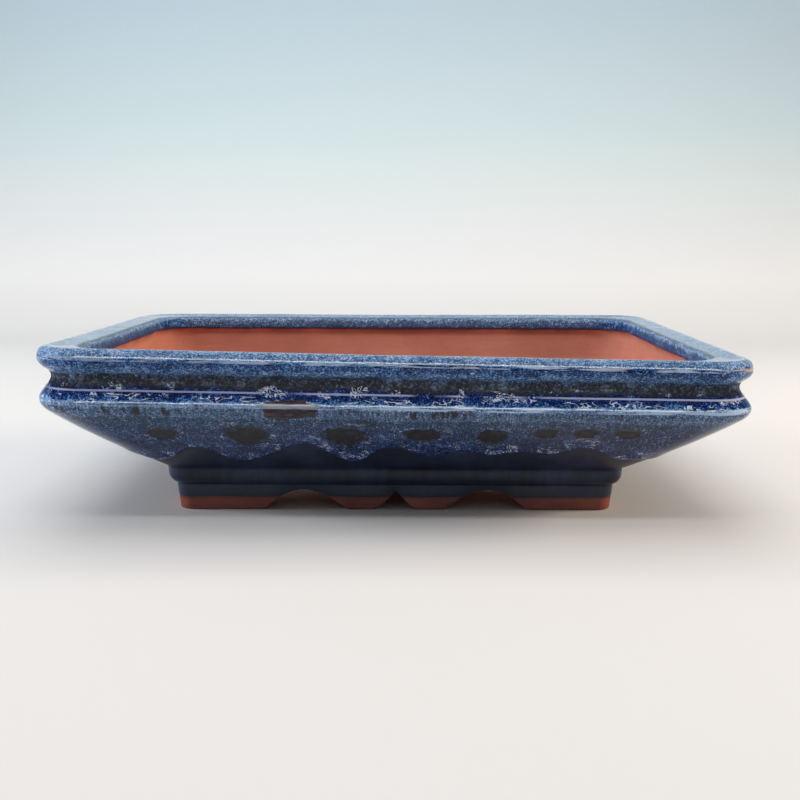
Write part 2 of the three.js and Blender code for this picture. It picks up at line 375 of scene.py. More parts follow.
def glaze_fields(side, inset, z, run, along, spot):
    """Fields that the relief and the materials share, at each point of a side's surface, in
    millimetres: above the thick glaze's lower edge, inside the glazed part, and out from the worn
    patch. Also drip, 1 where that edge hangs low, and eye, 1 on a hollow's rim and less inside."""
    edge, eyes = edge_of(side)
    wobble = 0.8 * noise(spot, 9, 3) + 0.35 * noise(spot, 3.1, 4)
    above = wavy(edge, along) - inset + wobble
    above = np.where(run < AT["belt_foot"], FAR, above)
    above = np.where(run > AT["belly"], -FAR, above)
    drip = smooth(26, 37, wavy(edge, along))
    eye = np.full(along.shape, OUTSIDE)
    for centre, height, half_width, half_height in eyes:
        rag = 1 + 0.16 * noise(spot, 3.0, 5) + 0.1 * noise(spot, 1.3, 6)
        dx, dy = (along - centre) / half_width, (inset - height) / half_height
        eye = np.minimum(eye, np.hypot(dx, dy + 0.35 * dx * dx) * rag)
    eye = np.where((run > AT["belt_foot"]) & (run < AT["belly"]), eye, OUTSIDE)
    inner_limit = run - (AT["lip"] + 0.9 + 0.25 * noise(spot, 7, 7) + 0.12 * noise(spot, 2, 8))
    foot_limit = z - GLAZE_FOOT + 0.35 * noise(spot, 14, 9) + 0.1 * noise(spot, 3, 10)
    foot_limit = np.minimum(foot_limit, AT["fascia"] + 0.3 - run)
    glazed = np.minimum(inner_limit, foot_limit)
    chip = worn_patch(run, along, spot) if side == "front" else np.full(along.shape, OUTSIDE)
    return dict(above=above, drip=drip, eye=eye, glazed=glazed, chip=chip)


def relief(run, f, spot):
    """Unevenness of the clay and thickness of the glaze, in millimetres out from the section."""
    clay = 0.10 * noise(spot, 38, 20) + 0.05 * noise(spot, 12, 21)
    on = smooth(-0.25, 0.9, f["glazed"])
    thin_coat = 0.18 * on
    thick = smooth(-0.5, 1.1, f["above"]) * on
    bead = np.exp(-((f["above"] - 2.2) / 2.2) ** 2) * (0.12 + 0.4 * f["drip"])
    sag = 0.22 * np.exp(-(f["glazed"] - 1.1) ** 2) * (run < AT["ridge"])
    hollow = 0.24 * smooth(1.15, 0.75, f["eye"]) + 0.2 * smooth(0.6, -0.6, f["chip"])
    ripple = 0.035 * noise(spot, 3.4, 22) + 0.02 * noise(spot, 1.7, 23)
    body = np.interp(run, [AT[name] for name in ("inner_wall", "lip", "belly", "plinth")],
                     [0, -0.45, -0.3, 0])
    off_hairline = run - run_at(GROOVE_HAIRLINE) - 0.15 * noise(spot, 30, 24)
    crease = 0.17 * np.exp(-(off_hairline / 0.42) ** 2)
    return body + clay + thin_coat + thick * (0.34 + bead + ripple) + sag + crease - hollow * thick


# ---- meshes

class Wall:
    """The whole visible wall of one side as a grid: stations by section points."""

    def __init__(self, side):
        share, turn = (values[:, None] for values in side_stations(side))
        inset = CHAIN[None, :, 0] + 0 * share
        z = CHAIN[None, :, 1] + 0 * inset
        run = RUN[None, :] + 0 * inset
        feet = np.arange(len(CHAIN)) >= MARK["plinth"]
        _, along, _ = place(side, inset, z, share, turn)
        cut = cut_height(side, along) * feet
        z = np.where(feet, cut + z * (FOOT_TOP - cut) / FOOT_TOP, z)
        spot, along, start = place(side, inset, z, share, turn)
        fields = glaze_fields(side, inset, z, run, along, spot)
        tangent = np.gradient(CHAIN, axis=0)
        tangent /= np.linalg.norm(tangent, axis=1)[:, None]
        height = relief(run, fields, spot)
        height[:, [0, -1]] = 0
        sole = (z < 0.6) & (run > AT["fascia"])  # stays flat
        height *= 1 - 0.999 * sole
        inset = inset + height * tangent[None, :, 1]
        z = z - height * tangent[None, :, 0]
        self.side, self.share, self.turn = side, share, turn
        self.fields = {name: fields[name] for name in ("above", "eye", "glazed", "chip")}
        self.fields["run"] = run
        self.flow = np.concatenate([start, run[..., None]], -1) * MM
        self.points = warp(place(side, inset, z, share, turn)[0])

    def plain_row(self, inset, z):
        """Points of the side at one inset and height, before the kiln's twist."""
        inset, z = np.full_like(self.share, inset), np.full_like(self.share, z)
        return place(self.side, inset, z, self.share, self.turn)[0]

    def row(self, inset, z):
        """Points inside the clay, where two strips meet."""
        return warp(self.plain_row(inset, z))


def warp(points):
    """The small twist and bow that the pot took in the kiln."""
    p = points.copy()
    x, y, z = p[..., 0] / (LENGTH / 2), p[..., 1] / DEPTH, p[..., 2] / HEIGHT
    front, back = 0.5 - y, 0.5 + y
    p[..., 2] += z * (x * (TWIST_FRONT * front + TWIST_BACK * back) + BACK_LIFT * back)
    lift = np.clip(z, 0, 1)
    for axis in (0, 1):
        p[..., axis] += BOW * lift * noise(points, BOW_WAVE, 30 + axis)
    p[..., 2] += SAG * lift * noise(points, SAG_WAVE, 33)
    return p


def unit(v):
    return v / np.maximum(np.linalg.norm(v, axis=-1, keepdims=True), 1e-9)


def build_walls():
    """All four sides, with normals taken across the mitres so that the surface runs on unbroken."""
    walls = [Wall(side) for side in SIDES]
    ring = np.concatenate([w.points[:-1] for w in walls])
    around = np.roll(ring, -1, axis=0) - np.roll(ring, 1, axis=0)
    down = np.gradient(ring, axis=1)
    normals = unit(np.cross(down, around))
    first = 0
    for w in walls:
        n = len(w.points)
        index = np.arange(first, first + n) % len(ring)
        w.points = ring[index]
        w.normals = normals[index]
        first += n - 1
    return walls


def add_object(name, data):
    made = bpy.data.objects.new(name, data)
    bpy.context.scene.collection.objects.link(made)
    return made


def new_object(name, vertices, faces, smooth_faces, normals=None, attributes=None):
    """A mesh object from points in millimetres. faces has an index array for each size of face."""
    mesh = bpy.data.meshes.new(name)
    corners = np.concatenate([f.ravel() for f in faces])
    sizes = np.concatenate([np.full(len(f), f.shape[1]) for f in faces])
    starts = np.concatenate([[0], np.cumsum(sizes)[:-1]])
    mesh.vertices.add(len(vertices))
    mesh.vertices.foreach_set("co", (vertices * MM).astype(np.float32).ravel())
    mesh.loops.add(len(corners))
    mesh.loops.foreach_set("vertex_index", corners.astype(np.int32))
    mesh.polygons.add(len(sizes))
    mesh.polygons.foreach_set("loop_start", starts.astype(np.int32))
    mesh.polygons.foreach_set("use_smooth", smooth_faces)
    mesh.update(calc_edges=True)
    for key, values in (attributes or {}).items():
        kind, field = ("FLOAT_VECTOR", "vector") if values.ndim == 2 else ("FLOAT", "value")
        attribute = mesh.attributes.new(key, kind, "POINT")
        attribute.data.foreach_set(field, values.astype(np.float32).ravel())
    if normals is not None:
        flat = np.zeros(len(mesh.polygons) * 3, np.float32)
        mesh.polygons.foreach_get("normal", flat)
        per_face = np.repeat(flat.reshape(-1, 3), sizes, axis=0)
        shown = np.repeat(smooth_faces, sizes)
        loop_normals = np.where(shown[:, None], normals[corners], per_face)
        mesh.normals_split_custom_set(loop_normals)
    return add_object(name, mesh)


def strip(wall, name, loop):
    """One strip of clay: loop lists its section, as slices of the wall's own section and, for the
    faces where strips meet, fixed points of inset and height. It is closed by its mitres."""
    rows, normals, flow, seen = [], [], [], []
    fields = {key: [] for key in wall.fields}
    for item in loop:
        if isinstance(item, slice):
            rows.append(wall.points[:, item])
            normals.append(wall.normals[:, item])
            flow.append(wall.flow[:, item])
            for key in fields:
                fields[key].append(wall.fields[key][:, item])
            seen += [True] * (item.stop - item.start - 1) + [False]
        else:
            rows.append(wall.row(*item))
            normals.append(np.zeros_like(rows[-1]))
            flow.append(np.zeros_like(rows[-1]))
            for key in fields:
                fields[key].append(np.full(rows[-1].shape[:2], -FAR))
            seen.append(False)
    points = np.concatenate(rows, axis=1)
    stations, count = points.shape[:2]
    i, s = np.arange(count), np.arange(stations - 1)[:, None] * count
    j = (i + 1) % count
    quads = np.stack([s + i, s + j, s + count + j, s + count + i], -1).reshape(-1, 4)
    ends = np.stack([i[::-1], (stations - 1) * count + i])
    attributes = {key: np.concatenate(values, axis=1).ravel() for key, values in fields.items()}
    attributes["flow"] = np.concatenate(flow, axis=1).reshape(-1, 3)
    return new_object(
        name, points.reshape(-1, 3), [quads, ends],
        np.concatenate([np.tile(seen, stations - 1), [False, False]]),
        np.concatenate(normals, axis=1).reshape(-1, 3), attributes,
    )


def section_of(first, last):
    return slice(MARK[first], MARK[last] + 1)


# The section of each strip, as a closed loop.
BACK_OF_BELT = (NECK, BELLY_TOP)
COURSES = {
    "rim": [section_of("inner_wall", "neck")],
    "collar": [section_of("neck", "groove"), BACK_OF_BELT, section_of("inner_slope", "inner_wall")],
    "belt": [section_of("groove", "belt_foot"), BACK_OF_BELT],
    "belly": [section_of("belt_foot", "belly"), section_of("floor", "inner_slope"), BACK_OF_BELT],
    "plinth": [section_of("belly", "plinth"), (FLOOR_EDGE, FOOT_TOP), (FLOOR_EDGE, PLINTH_TOP)],
    "foot_rail": [section_of("plinth", "foot_back")],
}


# ---- the floor

def circle(cx, cy, radius, n):
    a = np.linspace(0, 2 * math.pi, n, endpoint=False)
    return np.stack([cx + radius * np.cos(a), cy + radius * np.sin(a)], -1)


def holes():
    """(X, Y, radius, number of sides) of each hole."""
    for sx in (-1, 1):
        yield sx * DRAIN_SPACING / 2, 0.0, DRAIN_RADIUS, DRAIN_SIDES
        for sy in (-1, 1):
            yield sx * WIRE_SPACING[0] / 2, sy * WIRE_SPACING[1] / 2, WIRE_RADIUS, WIRE_SIDES


def from_centre(points, cx, cy):
    return np.hypot(points[:, 0] - cx, points[:, 1] - cy)


def floor_plan(outline):
    """Points and triangles of the floor in plan, and how far each point is lowered to soften the
    edge of a hole."""
    ease, grid_step, margin, clearance = 0.9, 3.0, 2, 2.2
    rings, lowered = [outline], [np.zeros(len(outline))]
    for cx, cy, radius, n in holes():
        for grow, drop in ((0, ease), (0.3 * ease, 0.3 * ease), (ease, 0)):
            rings.append(circle(cx, cy, radius + grow, n))
            lowered.append(np.full(n, drop))
    half = outline.max(0) - margin
    grid = np.meshgrid(*(np.arange(-h, h, grid_step) for h in half))
    grid = np.stack([axis.ravel() for axis in grid], -1)
    for cx, cy, radius, _ in holes():
        grid = grid[from_centre(grid, cx, cy) > radius + clearance]
    edges, first = [], 0
    for ring in rings:
        n = len(ring)
        edges += [(first + k, first + (k + 1) % n) for k in range(n)]
        first += n
    points = [Vector(p) for p in np.concatenate([*rings, grid])]
    points, _, triangles, *_ = geometry.delaunay_2d_cdt(points, edges, [], 0, 1e-5)
    points, triangles = np.array([tuple(p) for p in points]), np.array(triangles)
    middle = points[triangles].mean(1)
    for cx, cy, radius, n in holes():
        keep = from_centre(middle, cx, cy) > radius * math.cos(math.pi / n) - 0.02
        middle, triangles = middle[keep], triangles[keep]
    a, b, c = (points[triangles[:, k]] for k in range(3))
    clockwise = np.cross(b - a, c - a) < 0
    triangles[clockwise] = triangles[clockwise][:, ::-1]
    drop = np.zeros(len(points))
    drop[: sum(len(ring) for ring in rings)] = np.concatenate(lowered)
    return points, triangles, drop


def floor_slab(walls):
    """The floor: a slightly uneven slab, its holes cut with a softened edge."""
    outline = np.concatenate([w.plain_row(FLOOR_EDGE, PLINTH_TOP)[:-1, 0, :2] for w in walls])
    plan, triangles, drop = floor_plan(outline)
    lay = np.concatenate([plan, np.zeros((len(plan), 1))], 1)
    uneven = 0.18 * noise(lay, 30, 40) + 0.1 * noise(lay, 9, 41)
    uneven *= smooth(0, 6, (outline.max(0) - np.abs(plan)).min(1))
    top = np.concatenate([plan, (PLINTH_TOP - drop + uneven)[:, None]], 1)
    bottom = np.concatenate([plan, (FOOT_TOP + drop + 0.6 * uneven)[:, None]], 1)
    pairs = np.concatenate([triangles[:, [0, 1]], triangles[:, [1, 2]], triangles[:, [2, 0]]])
    known = {tuple(p) for p in pairs}
    border = np.array([p for p in pairs if (p[1], p[0]) not in known])
    n = len(plan)
    sides = np.stack([border[:, 0], border[:, 0] + n, border[:, 1] + n, border[:, 1]], -1)
    faces = [triangles, triangles[:, ::-1] + n, sides]
    shown = np.concatenate([np.ones(2 * len(triangles), bool), np.zeros(len(sides), bool)])
    return new_object("floor_slab_fired", warp(np.concatenate([top, bottom])), faces, shown)


# ---- node materials

# Ramps between colours: (position, red, green, blue), with colours as a display shows them.
RAMPS = {
    # The clay inside the pot, and a darker copy for the feet that is painted shade.
    "lit_clay": [(0.36, 189, 128, 110), (0.5, 198, 135, 117), (0.64, 205, 144, 125)],
    "shaded_clay": [(0.36, 112, 57, 50), (0.5, 130, 70, 61), (0.64, 146, 84, 74)],
    "crystals": [(0.36, 8, 16, 32), (0.44, 18, 40, 78), (0.51, 36, 76, 130), (0.58, 80, 130, 176),
                 (0.68, 164, 196, 220)],
    "royal": [(0.38, 6, 10, 30), (0.5, 13, 32, 90), (0.58, 30, 72, 146), (0.68, 120, 160, 210)],
    "steel": [(0.37, 40, 68, 108), (0.5, 88, 126, 172), (0.62, 176, 200, 232)],
    "cobalt": [(0.38, 3, 8, 24), (0.46, 8, 34, 82), (0.53, 22, 74, 142), (0.63, 104, 156, 206)],
    "fur": [(0.39, 6, 12, 22), (0.455, 22, 40, 66), (0.53, 44, 70, 106), (0.64, 112, 142, 180)],
    "haze": [(0.39, 14, 20, 34), (0.455, 46, 68, 100), (0.53, 78, 106, 142), (0.64, 148, 176, 208)],
    "belly": [(0.40, 3, 8, 22), (0.47, 12, 28, 62), (0.54, 32, 60, 112), (0.64, 120, 154, 204)],
    "brown": [(0.4, 10, 8, 12), (0.52, 28, 25, 32), (0.68, 58, 54, 62)],
    "pool": [(0.38, 8, 4, 5), (0.52, 22, 16, 18), (0.68, 48, 43, 50)],
    "bronze": [(0.4, 26, 16, 17), (0.55, 54, 38, 37), (0.7, 92, 72, 68)],
    "navy": [(0.35, 16, 23, 40), (0.5, 24, 35, 58), (0.66, 36, 50, 78)],
    "paper": [(0.0, 224, 224, 225), (0.06, 228, 228, 229), (0.14, 232, 233, 235),
              (0.27, 223, 227, 231), (0.4, 213, 224, 227), (0.6, 197, 215, 222),
              (0.8, 187, 206, 217), (1.0, 177, 197, 211)],
    "card": [(0.4, 46, 47, 50), (0.6, 58, 59, 62)],
}
# Single colours laid over those. The pale lines on the belt, the crown of the rim, the worn patch,
# the fine ridge and the brow's edge are painted highlights; the feet's grey is painted bounce
# light, and the dark on the clay under the lip is partly painted shadow.
COLOURS = {
    "iron_speck": (110, 58, 46), "lip_stain_and_shadow": (84, 52, 48), "shadow_under_lip": (92, 54, 50),
    "foot_bounce_light": (60, 66, 84), "glaze_edge": (52, 46, 46), "groove_shadow": (8, 12, 28),
    "worn_ridge": (84, 92, 84), "lip_roll": (34, 46, 100), "patch_line": (16, 11, 14),
    "strokes": (30, 23, 22), "froth": (216, 226, 244), "crest_highlight": (176, 200, 232),
    "crown": (186, 206, 230), "warm_crown_highlight": (176, 160, 152), "patch_highlight": (166, 162, 170),
    "seam_highlight": (192, 197, 228), "brow_edge_highlight": (204, 212, 224),
}
CLAY_ROUGHNESS, CLAY_IOR, GLAZE_IOR, SPECULAR = 0.88, 1.45, 1.52, 0.3
GRAIN_HEIGHT = 0.00012  # metres


def srgb(r, g, b):
    """A colour given as 0 to 255 values of a display, made linear."""
    def one(c):
        c /= 255
        return c / 12.92 if c <= 0.04045 else ((c + 0.055) / 1.055) ** 2.4
    return one(r), one(g), one(b), 1.0


class Tree:
    """Short calls for building a node tree. Each takes sockets or constants and gives a socket."""

    def __init__(self, name):
        self.material = bpy.data.materials.new(name)
        self.material.use_nodes = True
        self.tree = self.material.node_tree
        self.tree.nodes.clear()

    def node(self, kind, **values):
        made = self.tree.nodes.new("ShaderNode" + kind)
        for key, value in values.items():
            setattr(made, key, value)
        return made

    def put(self, socket, value):
        """Links a socket, or sets it to a constant or to one of COLOURS."""
        if isinstance(value, bpy.types.NodeSocket):
            self.tree.links.new(value, socket)
        else:
            socket.default_value = srgb(*COLOURS[value]) if isinstance(value, str) else value

    def position(self):
        return self.node("TexCoord").outputs["Object"]

    def component(self, vector, axis):
        made = self.node("SeparateXYZ")
        self.put(made.inputs[0], vector)
        return made.outputs[axis]

    def attribute(self, name, vector=False):
        made = self.node("Attribute", attribute_name=name)
        return made.outputs["Vector" if vector else "Fac"]

    def math(self, operation, a, b, clamp=False):
        made = self.node("Math", operation=operation, use_clamp=clamp)
        self.put(made.inputs[0], a)
        self.put(made.inputs[1], b)
        return made.outputs[0]

    def times(self, a, b):
        return self.math("MULTIPLY", a, b)

    def plus(self, a, b):
        return self.math("ADD", a, b)

    def larger(self, a, b):
        return self.math("MAXIMUM", a, b)

    def inverse(self, mask):
        return self.math("SUBTRACT", 1.0, mask)

    def centred(self, noise):
        """A noise of 0 to 1, shifted to lie about 0."""
        return self.math("SUBTRACT", noise, 0.5)

    def weighted(self, a, b, share):
        """The sum of two noises, the second with a share of the weight."""
        return self.plus(self.times(a, 1 - share), self.times(b, share))

    def between(self, value, low, high):
        """0 below low, 1 above high, eased between. It falls instead where low is above high."""
        made = self.node("MapRange", interpolation_type="SMOOTHSTEP")
        ends = (high, low, 1.0, 0.0) if low > high else (low, high, 0.0, 1.0)
        for socket, v in zip(made.inputs, (value, *ends)):
            self.put(socket, v)
        return made.outputs[0]

    def noise(self, vector, scale, detail=2.0, roughness=0.5, distortion=0.0):
        """Noise of 0 to 1, with scale in waves to the metre where the vector is a position."""
        made = self.node("TexNoise")
        self.put(made.inputs["Vector"], vector)
        for key, v in (("Scale", scale), ("Detail", detail), ("Roughness", roughness),
                       ("Distortion", distortion)):
            made.inputs[key].default_value = v
        return made.outputs["Fac"]

    def stretch(self, vector, scale):
        made = self.node("VectorMath", operation="MULTIPLY")
        self.put(made.inputs[0], vector)
        made.inputs[1].default_value = scale
        return made.outputs[0]

    def ramp(self, value, name):
        """One of RAMPS."""
        stops = RAMPS[name]
        made = self.node("ValToRGB")
        elements = made.color_ramp.elements
        while len(elements) < len(stops):
            elements.new(0.5)
        for element, (position, *colour) in zip(elements, stops):
            element.position = position
            element.color = srgb(*colour)
        self.put(made.inputs[0], value)
        return made.outputs[0]

    def mix(self, factor, a, b):
        """Colour a, or b where the factor is 1."""
        made = self.node("Mix", data_type="RGBA")
        self.put(made.inputs[0], factor)
        self.put(made.inputs[6], a)
        self.put(made.inputs[7], b)
        return made.outputs[2]

    def cover(self, colour, over, mask, share):
        """A colour with another laid over it where a mask says, at a share of full strength."""
        return self.mix(self.times(mask, share), colour, over)

    def blend(self, factor, a, b):
        """Value a, or b where the factor is 1."""
        made = self.node("Mix", data_type="FLOAT")
        self.put(made.inputs[0], factor)
        self.put(made.inputs[2], a)
        self.put(made.inputs[3], b)
        return made.outputs[0]

    def bump(self, height, distance, strength):
        made = self.node("Bump")
        made.inputs["Strength"].default_value = strength
        made.inputs["Distance"].default_value = distance
        self.put(made.inputs["Height"], height)
        return made.outputs[0]

    def surface(self, colour, roughness, normal, **constants):
        shader = self.node("BsdfPrincipled")
        self.put(shader.inputs["Base Color"], colour)
        self.put(shader.inputs["Roughness"], roughness)
        self.put(shader.inputs["Normal"], normal)
        for key, value in constants.items():
            shader.inputs[key.replace("_", " ")].default_value = value
        self.put(self.node("OutputMaterial").inputs[0], shader.outputs[0])
        return self.material


class Levels:
    """Masks by distance along the section, in millimetres, with edges as ragged as the glaze's."""

    def __init__(self, t, where, run):
        self.t, self.run = t, run
        wave = t.centred(t.noise(t.stretch(where, (1, 1, 0.3)), 75, 3, 0.6))
        grain = t.centred(t.noise(where, 420, 2, 0.65))
        ragged = t.plus(t.times(grain, 0.003), t.times(wave, 0.005))
        self.level = t.plus(t.times(run, MM), ragged)

    def step(self, middle, width):
        """0 before a distance run and 1 past it."""
        middle, half = middle * MM, width * MM / 2
        return self.t.between(self.level, middle - half, middle + half)

    def below(self, height, width):
        """1 below a height on the outside of the pot."""
        return self.step(run_at(height), width)

    def band(self, top, bottom, width):
        return self.t.times(self.below(top, width), self.t.inverse(self.below(bottom, width)))

    def past(self, landmark, shift, width):
        """1 past a landmark of the section, or past a point shifted from it."""
        return self.step(AT[landmark] + shift, width)

    def line(self, top, bottom):
        """1 between two heights, with clean edges."""
        t, soft = self.t, 0.15
        starts = t.between(self.run, run_at(top) - soft, run_at(top) + soft)
        ends = t.between(self.run, run_at(bottom) + soft, run_at(bottom) - soft)
        return t.times(starts, ends)


def clay_colour(t, where, inside):
    """Unglazed red clay: fine grain, soft clouds, and faint smears from the potter's sponge. It is
    paler inside the pot than on the feet, whose darker copy of the clay is painted shade from the
    belly above. Also the height of its bumps."""
    cloud = t.noise(where, 28, 3, 0.6)
    grain = t.noise(where, 1500, 2, 0.6)
    smear = t.noise(t.stretch(where, (40, 40, 420)), 1.0, 3, 0.55)
    mottle = t.weighted(cloud, smear, 0.25)
    # Painted shade: the feet take the darker copy of the clay.
    colour = t.mix(inside, t.ramp(mottle, "shaded_clay"), t.ramp(mottle, "lit_clay"))
    specks = t.between(t.noise(where, 900, 1, 0.5), 0.70, 0.76)
    colour = t.cover(colour, "iron_speck", specks, 0.35)
    return colour, t.plus(t.times(grain, 0.5), t.times(smear, 0.4))


def terracotta():
    t = Tree("terracotta")
    colour, height = clay_colour(t, t.position(), 1.0)
    grain = t.bump(height, GRAIN_HEIGHT, 0.7)
    return t.surface(colour, CLAY_ROUGHNESS, grain, IOR=CLAY_IOR, Specular_IOR_Level=SPECULAR)


def glaze_ground(t, levels, shade, streak, above):
    """The blues of the thick glaze, which change with height."""
    crystals, royal, steel, cobalt = (
        t.ramp(shade, name) for name in ("crystals", "royal", "steel", "cobalt")
    )
    furry = t.weighted(shade, streak, 0.26)
    inner_face = t.inverse(levels.past("ridge", -2.7, 2.0))
    colour = t.mix(inner_face, steel, t.mix(0.3, crystals, royal))
    # Each height, the width that the change takes there, and the ground below it.
    for height, width, ground in (
        (75.2, 0.9, cobalt),
        (71.3, 1.4, t.mix(0.5, crystals, steel)),
        (63.4, 1.4, royal),
        (59.2, 0.8, cobalt),
        (57.9, 0.8, t.mix(0.72, crystals, steel)),
        (55.4, 0.9, t.ramp(furry, "haze")),
        (50.6, 2.6, t.ramp(furry, "fur")),
        (46.0, 4.0, t.ramp(t.weighted(shade, streak, 0.25), "belly")),
    ):
        colour = t.mix(levels.below(height, width), colour, ground)
    near_edge = t.between(above, 8.0, 1.0)
    return t.cover(colour, royal, near_edge, 0.6)


def thin_glaze(t, levels, colour, where, flow, coarse, eye, chip):
    """Adds the browns of thin glaze: the groove, the hollows, the lip's edges, the worn patch and
    the short strokes under the belt. Also masks of the thin places and of the worn patch."""
    patches = t.between(t.noise(t.stretch(where, (1, 1, 0.7)), 110, 4, 0.75), 0.48, 0.66)
    crystals_left = t.between(t.noise(where, 800, 2, 0.6), 0.50, 0.62)
    kept_blue = t.times(t.math("ADD", patches, t.times(crystals_left, 0.6), clamp=True), 0.62)
    groove = t.times(levels.band(68.7, 62.9, 1.8), t.inverse(kept_blue))
    colour = t.cover(colour, t.ramp(coarse, "brown"), groove, 0.93)
    colour = t.cover(colour, "groove_shadow", levels.band(65.8, 62.6, 1.2), 0.55)
    hollow = t.between(eye, 1.13, 0.84)
    colour = t.cover(colour, t.ramp(coarse, "pool"), hollow, 0.95)
    ridge = t.times(levels.past("ridge", -1.1, 1.0), t.inverse(levels.past("ridge", 0.8, 1.2)))
    colour = t.cover(colour, "worn_ridge", ridge, 0.7)
    roll = t.times(levels.past("lip", 0.9, 0.6), t.inverse(levels.past("lip", 2.8, 1.2)))
    colour = t.cover(colour, "lip_roll", roll, 0.85)
    bronze = t.ramp(t.noise(t.stretch(where, (1, 1, 6)), 260, 3, 0.6), "bronze")
    bronze = t.mix(levels.band(54.9, 54.0, 0.3), bronze, "patch_line")
    patch = t.between(chip, 0.5, -0.5)
    colour = t.cover(colour, bronze, patch, 0.95)
    strokes = t.between(t.noise(t.stretch(flow, (330, 330, 95)), 1.0, 3, 0.65), 0.555, 0.62)
    cluster = t.between(t.noise(where, 26, 1, 0.5), 0.40, 0.56)
    strokes = t.times(t.times(strokes, cluster), levels.band(56.2, 51.6, 1.8))
    colour = t.cover(colour, "strokes", strokes, 0.88)
    thin = t.larger(groove, t.times(t.larger(hollow, patch), 0.3))
    return colour, thin, patch


def froth(t, levels, where, wide, above, eye):
    """A mask of the white froth: knots and threads on the belt, flecks along the glaze's lower edge
    and round its hollows."""
    def curls(vector, scale, width, cluster_scale, cluster_from, distortion):
        ridge = t.math("ABSOLUTE", t.centred(t.noise(vector, scale, 2, 0.5, distortion)), 0.0)
        lines = t.between(ridge, width, width * 0.3)
        cluster = t.noise(vector, cluster_scale, 1, 0.5)
        return t.times(lines, t.between(cluster, cluster_from, cluster_from + 0.05))

    knots = t.times(curls(where, 270, 0.048, 125, 0.575, 1.8), levels.band(64.2, 59.8, 0.6))
    threads = t.times(curls(wide, 380, 0.034, 120, 0.46, 1.0), levels.band(60.2, 57.6, 0.6))
    edge = t.times(t.between(above, 0.6, 1.4), t.between(above, 9.5, 6.0))
    flecks = t.times(curls(where, 300, 0.034, 140, 0.53, 1.6), edge)
    halo = t.times(t.between(eye, 1.08, 1.2), t.between(eye, 1.6, 1.35))
    halo = t.times(curls(where, 320, 0.032, 150, 0.53, 1.4), halo)
    flecks = t.larger(t.times(flecks, 0.8), t.times(halo, 0.6))
    return t.larger(t.larger(knots, threads), flecks)


def painted_highlights(t, levels, colour, where, wide, patch):
    """Adds painted highlights, thin pale lines that stand in for reflections: along the top of the
    belt's bulge, the crown of the rim, the worn patch, the ridge above the belt and the edge of the
    brow.
    Most are stronger to the right, as in the photo."""
    rightward = t.between(t.component(where, "X"), -0.10, 0.05)
    broken = t.noise(wide, 300, 3, 0.6)
    long_broken = t.between(t.noise(t.stretch(where, (0.06, 0.06, 1.0)), 1000, 3, 0.6), 0.42, 0.54)

    # Painted highlight: a pale line along the top of the belt's bulge.
    crest_highlight = t.times(levels.line(57.7, 55.5), long_broken)
    colour = t.cover(colour, "crest_highlight", crest_highlight, t.blend(rightward, 0.2, 0.85))
    # Painted highlight: a pale line along the crown of the rim, tinted in spots.
    crown = t.times(levels.line(75.4, 73.9), t.times(long_broken, t.between(broken, 0.34, 0.5)))
    warm_highlight_spots = t.between(t.noise(where, 9, 1, 0.5), 0.60, 0.70)
    colour = t.cover(colour, t.mix(warm_highlight_spots, "crown", "warm_crown_highlight"), crown,
                     t.blend(rightward, 0.5, 0.85))
    # Painted highlight across the worn patch.
    patch_highlight_band = t.times(levels.line(57.4, 55.6), t.between(broken, 0.36, 0.56))
    colour = t.cover(colour, "patch_highlight", t.times(patch_highlight_band, patch), 0.6)
    # Painted highlight along the fine ridge above the belt.
    seam_highlight = t.times(levels.line(61.9, 61.2), t.between(t.noise(wide, 70, 3, 0.6), 0.34, 0.46))
    colour = t.cover(colour, "seam_highlight", seam_highlight, t.blend(rightward, 0.6, 0.8))
    # Painted highlight along the outer edge of the brow.
    brow_edge_highlight = t.times(t.between(levels.run, AT["brow"] - 0.7, AT["brow"] - 0.3),
                   t.between(levels.run, AT["brow"] + 0.5, AT["brow"]))
    brow_edge_highlight = t.times(brow_edge_highlight, t.between(broken, 0.34, 0.60))
    return t.cover(colour, "brow_edge_highlight", brow_edge_highlight, t.blend(rightward, 0.45, 0.7))


def crystal_glaze(t, where, flow, run, above, eye, chip):
    """Colour of the thick rutile-blue glaze: cobalt crystals, pale froth, brown where it ran thin,
    and painted highlight lines. Also its grain, and masks of its thin places and its froth."""
    fine = t.noise(where, 1350, 2, 0.7)
    coarse = t.noise(where, 420, 3, 0.6, 0.6)
    cloud = t.noise(where, 70, 3, 0.6)
    speck = t.weighted(fine, coarse, 0.28)
    shade = t.plus(speck, t.times(t.centred(cloud), 0.16))
    streak = t.noise(t.stretch(flow, (1300, 1300, 190)), 1.0, 3, 0.6)
    wide = t.stretch(where, (0.4, 0.4, 1.0))
    levels = Levels(t, where, run)
    colour = glaze_ground(t, levels, shade, streak, above)
    colour, thin, patch = thin_glaze(t, levels, colour, where, flow, coarse, eye, chip)
    white = froth(t, levels, where, wide, above, eye)
    colour = t.cover(colour, "froth", white, 0.95)
    return painted_highlights(t, levels, colour, where, wide, patch), speck, thin, white


def navy_glaze(t, where, flow, run):
    """Colour of the thin satin glaze under the thick one, and on the plinth and the feet. On the
    feet
    it is greyer and lighter: painted light bounced up from the floor.
    """
    cloud = t.noise(where, 60, 3, 0.6)
    streak = t.noise(t.stretch(flow, (420, 420, 60)), 1.0, 3, 0.6)
    colour = t.ramp(t.weighted(cloud, streak, 0.35), "navy")
    # Painted bounce light: the feet's navy is lightened towards grey.
    feet = t.between(run, AT["plinth"] - 1, AT["plinth"] + 1)
    return t.cover(colour, "foot_bounce_light", feet, 0.45)


